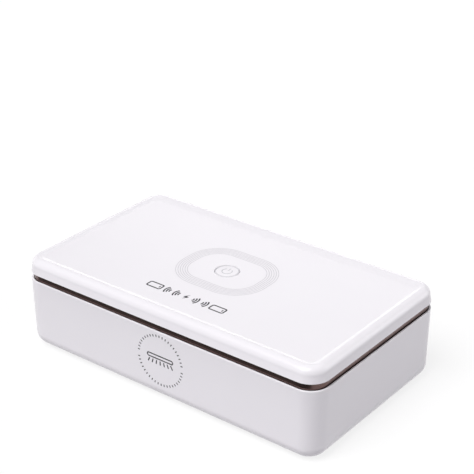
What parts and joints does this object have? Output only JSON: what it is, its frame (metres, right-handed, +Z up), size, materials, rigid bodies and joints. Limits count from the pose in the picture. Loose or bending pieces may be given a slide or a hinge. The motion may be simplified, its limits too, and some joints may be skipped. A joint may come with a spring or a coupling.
{
  "type": "uv sanitizer box for phones",
  "caption": "Long white box with a hinged lid, a dark trim band, an open inner tray, ultraviolet lamps under the lid and a round push button amid charger rings.",
  "frame": {"origin": "on the surface that the box stands on, under the middle of the box", "axes": "+Z up, +X along the box's length, -Y to the front, +Y to the hinge"},
  "size_m": [0.22, 0.1279, 0.061],
  "materials": {
    "white_shell": "glossy moulded white",
    "grey_liner": "satin moulded light grey",
    "bronze_trim": "dark copper plating, polished",
    "rubber_foot": "matte moulded rubber",
    "steel": "plated steel",
    "copper_wire": "enamelled copper litz",
    "ferrite": "matte ferrite sheet",
    "white_laminate": "white solder mask",
    "ribbon_film": "flat flexible cable",
    "lamp_ceramic": "ceramic lamp package with a clear lens",
    "smoked_lens": "smoked moulding"
  },
  "bodies": {
    "base": {"base_shell": "white_shell", "base_tray": "grey_liner", "hinge_pin": "steel", "foot_front_left": "rubber_foot", "foot_front_right": "rubber_foot", "foot_rear_left": "rubber_foot", "foot_rear_right": "rubber_foot", "base_screw_front_left": "steel", "base_screw_front_right": "steel", "base_screw_rear_left": "steel", "base_screw_rear_right": "steel", "base_magnet_left": "steel", "base_magnet_right": "steel", "sensor_magnet": "steel"},
    "lid": {"lid_shell": "white_shell", "trim_frame": "bronze_trim", "lid_liner": "grey_liner", "catch_block": "grey_liner", "hinge_cover": "grey_liner", "hinge_arm": "steel", "lid_sensor": "smoked_lens", "lid_magnet_left": "steel", "lid_magnet_right": "steel", "hinge_screw_left": "steel", "hinge_screw_right": "steel", "board_screw_front_left": "steel", "board_screw_front_right": "steel", "board_screw_rear_left": "steel", "board_screw_rear_right": "steel", "strip_screw_front_left": "steel", "strip_screw_front_right": "steel", "strip_screw_rear_left": "steel", "strip_screw_rear_right": "steel", "charging_coil": "copper_wire", "ferrite_sheet": "ferrite", "main_board": "white_laminate", "lamp_strip_left": "white_laminate", "lamp_strip_right": "white_laminate", "ribbon_left": "ribbon_film", "ribbon_right": "ribbon_film", "uv_lamp_left_front": "lamp_ceramic", "uv_lamp_left_middle": "lamp_ceramic", "uv_lamp_left_rear": "lamp_ceramic", "uv_lamp_centre_front": "lamp_ceramic", "uv_lamp_centre_middle": "lamp_ceramic", "uv_lamp_centre_rear": "lamp_ceramic", "uv_lamp_right_front": "lamp_ceramic", "uv_lamp_right_middle": "lamp_ceramic", "uv_lamp_right_rear": "lamp_ceramic", "key_switch": "smoked_lens", "charging_port": "steel"},
    "button": {"power_button": "white_shell"}
  },
  "joints": [
    {"name": "lid_hinge", "type": "hinge", "parent": "base", "child": "lid", "pos_m": [0, 0.0623, 0.04945], "axis": [-1, 0, 0], "range_deg": [0, 100]},
    {"name": "button_press", "type": "slide", "parent": "lid", "child": "button", "axis": [0, 0, -1], "range_m": [0, 0.0006], "stiffness_N_per_m": 1500, "springref_m": -0.0003}
  ]
}
